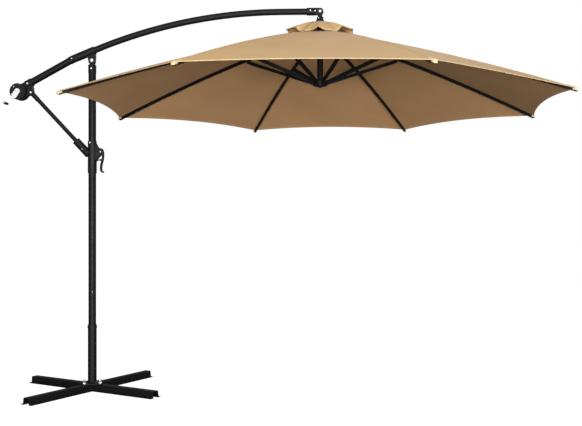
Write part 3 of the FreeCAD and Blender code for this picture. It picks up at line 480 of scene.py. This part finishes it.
# mouth and slot say where a ball of radius 1 is cut, the others are metres
sleeve = {"inward": 0.020, "outward": 0.0095, "halfWidth": 0.0105, "halfHeight": 0.0125, "below": 0.0095,
          "thick": 0.0011, "overlap": 0.004, "mouth": 0.9, "slot": 0.2}


def makeTipSleeve(number, turn):
    # the sewn hood over the rib's end: a ball drawn out into a sock, cut open behind and below
    bm = bmesh.new()
    bmesh.ops.create_uvsphere(bm, u_segments=24, v_segments=18, radius=1)
    bmesh.ops.rotate(bm, verts=bm.verts, cent=(0, 0, 0), matrix=Matrix.Rotation(math.radians(90), 3, "Y"))
    for at, way in (((-sleeve["mouth"], 0, 0), (-1, 0, 0)), ((0, 0, -sleeve["slot"]), (0, 0, -1))):
        bmesh.ops.bisect_plane(bm, geom=bm.verts[:] + bm.edges[:] + bm.faces[:], plane_co=at, plane_no=way,
                               clear_outer=True)
    slope = math.atan2(ridgeHeight(canopy["tipRadius"] - 0.03) - canopy["rimHeight"], 0.03)
    uvLayer = bm.loops.layers.uv.new("clothMap")
    for vert in bm.verts:
        along, ring = vert.co.x, Vector((0, vert.co.y, vert.co.z))
        if along < 0 and ring.z > -0.15:
            ring.normalize()
        vert.co = Vector((along * (sleeve["outward"] if along > 0 else sleeve["inward"] / sleeve["mouth"]),
                          ring.y * sleeve["halfWidth"], ring.z * sleeve["halfHeight"]))
    for face in bm.faces:
        face.smooth = True
        for loop in face.loops:
            place = loop.vert.co
            loop[uvLayer].uv = (math.atan2(place.y, place.z) * sleeve["halfWidth"], place.x)
    bmesh.ops.rotate(bm, verts=bm.verts, cent=(0, 0, 0), matrix=Matrix.Rotation(slope, 3, "Y"))
    seat = (canopy["tipRadius"] - sleeve["overlap"], 0, canopy["rimHeight"] - sleeve["below"])
    bmesh.ops.translate(bm, verts=bm.verts, vec=seat)
    bmesh.ops.recalc_face_normals(bm, faces=bm.faces)
    bmesh.ops.transform(bm, verts=bm.verts, matrix=Matrix.Translation(mastAt) @ Matrix.Rotation(turn, 4, "Z"))
    thing = asObject(bm, "tip_sleeve_%d" % number)
    thicken(thing, sleeve["thick"], 1)
    wear(thing, clothPale, clothPale)
    foldWith(thing, number, turn)
    return thing


vent = {
    "inner": 0.0200, "outer": (ventHigh.x - ventLow.x) / 2 / math.cos(halfTurn), "top": ventHigh.z - 0.0008,
    "rim": ventLow.z, "pull": 0.003, "crumple": 0.005, "thick": 0.0016, "across": 28, "along": 26,
    # how far the hem stands up: in the openings between the ribs, and at the corners over the ribs
    "lifts": (0.022, 0.036, 0.050, 0.030, 0.032, 0.028, 0.052, 0.034),
    "corners": (0.0, 0.032, 0.012, 0.010, 0.012, 0.010, 0.034, 0.0),
}


def onVent(out, across, number):
    side = 1 if across >= 0 else -1
    toward = abs(across)
    gap = (toward * toward * (3 - 2 * toward)) ** 3
    opening = number % len(vent["lifts"]) if side > 0 else number - 1
    lift = vent["corners"][number - 1] * (1 - gap) + vent["lifts"][opening] * gap
    radius = vent["inner"] + (vent["outer"] - vent["inner"]) * out
    bay = 1 - (1 - toward) ** 2
    pulled = radius * math.cos(halfTurn) - vent["pull"] * bay * out ** 4
    inset = radius * math.sin(halfTurn) * (1 - toward)
    x = pulled * math.cos(halfTurn) + inset * math.sin(halfTurn)
    y = side * (pulled * math.sin(halfTurn) - inset * math.cos(halfTurn))
    height = vent["top"] - (vent["top"] - vent["rim"] - lift) * out ** 1.5
    return Vector((x, y, height + canopy["thick"] / 2)), bay


def makeVentPanel(number, turn):
    def shape(u, v):
        point, bay = onVent(v, u, number)
        world = turned(point, turn)
        soft = noise.noise(world * 17.0) + 0.6 * noise.noise(world * 41.0)
        world.z += vent["crumple"] * soft * min(1, 3 * v) * (0.35 + 0.65 * bay)
        length = (1 - v) * (vent["outer"] - vent["inner"])
        radius = vent["inner"] + (vent["outer"] - vent["inner"]) * v
        return world, (u * radius * math.sin(halfTurn), length), length, abs(u) * radius * math.sin(halfTurn)
    panel, area = clothGrid("vent_panel_%d" % number, vent["across"], vent["along"], shape)
    thicken(panel, vent["thick"], 0)
    wear(panel, clothOutside, clothInsidePaintedFill)
    tuple(turned(Vector((0.05, 0, 2.15)), turn))
    tuple(turned(Vector((0.17, 0, 2.15)), turn))
    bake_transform(panel)
    return panel, area


panels, vents = [], []
for number, turn in enumerate(ribTurns, 1):
    panel, area = makePanel(number, turn)
    trims = [make(number, turn) for make in (makeHem, makeSeam, makePocket, makeTipSleeve)]
    panels.append(panel)
    cap, capArea = makeVentPanel(number, turn)
    vents.append(cap)
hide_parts("canopy_cover")
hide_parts("vent_cap")
print("canopy made")


# floor, light and camera

studio = {
    "ambient": 0.24, "floor": (0.12, 0.12, 0.119, 1), "floorGlow": 0.98,
    "lamps": {
        "keyLamp": {"at": (0.4, -3.6, 5.6), "aim": (1.3, 0, 1.9), "size": (3.6, 3.6), "power": 150},
        "fillLamp": {"at": (5.6, -5.0, 1.1), "aim": (1.0, 0.4, 1.7), "size": (1.8, 2.0), "power": 250},
        "frontLamp": {"at": (1.4, -6.8, 1.0), "aim": (1.6, 0.6, 1.8), "size": (5.0, 2.0), "power": 790},
        "backLamp": {"at": (2.4, 4.5, 5.0), "aim": (1.2, 0, 1.8), "size": (3.0, 3.0), "power": 250},
    },
}


def makeFloor():
    bm = bmesh.new()
    bmesh.ops.create_grid(bm, x_segments=1, y_segments=1, size=30)
    floor = asObject(bm, "floor")
    finish = Finish("paleFloor", Base_Color=studio["floor"], Roughness=0.9, Specular_IOR_Level=0.1,
                    Emission_Strength=studio["floorGlow"])
    # the floor glows to the camera alone, so it lights nothing
    finish.drive(Emission_Color=finish.make("LightPath"))
    wear(floor, finish.material)


def makeLamp(name, recipe):
    lamp = bpy.data.lights.new(name, "AREA")
    lamp.shape = "RECTANGLE"
    lamp.size, lamp.size_y = recipe["size"]
    lamp.energy = recipe["power"]
    thing = bpy.data.objects.new(name, lamp)
    thing.location = recipe["at"]
    aim = Vector(recipe["aim"]) - Vector(recipe["at"])
    thing.rotation_euler = aim.to_track_quat("-Z", "Y").to_euler()
    bpy.context.collection.objects.link(thing)


def makeWorld():
    # white behind everything for the camera, a dim even light for the rest
    world = bpy.data.worlds.new("studio")
    world.use_nodes = True
    tree = world.node_tree
    soft = tree.nodes["Background"]
    soft.inputs["Color"].default_value = (1, 1, 1, 1)
    soft.inputs["Strength"].default_value = studio["ambient"]
    bright = tree.nodes.new("ShaderNodeBackground")
    bright.inputs["Color"].default_value = (1, 1, 1, 1)
    bright.inputs["Strength"].default_value = 1.0
    either = tree.nodes.new("ShaderNodeMixShader")
    tree.links.new(tree.nodes.new("ShaderNodeLightPath").outputs["Is Camera Ray"], either.inputs[0])
    tree.links.new(soft.outputs[0], either.inputs[1])
    tree.links.new(bright.outputs[0], either.inputs[2])
    tree.links.new(either.outputs[0], tree.nodes["World Output"].inputs["Surface"])
    bpy.context.scene.world = world


camera = {"at": (1.6511, -5.0486, 1.0193), "turn": (90, 0, 2.34), "lens": 52.08,
          "aside": -0.0671, "rise": 0.0150}


def makeCamera():
    lens = bpy.data.cameras.new("camera")
    lens.sensor_width = 36
    lens.lens = camera["lens"]
    lens.shift_x = camera["aside"]
    lens.shift_y = camera["rise"]
    thing = bpy.data.objects.new("camera", lens)
    thing.location = camera["at"]
    thing.rotation_euler = [math.radians(angle) for angle in camera["turn"]]
    bpy.context.collection.objects.link(thing)
    bpy.context.scene.camera = thing


makeFloor()
for lampName, recipe in studio["lamps"].items():
    makeLamp(lampName, recipe)
makeWorld()
bpy.context.scene.view_settings.view_transform = "Standard"
makeCamera()
print("stage set")
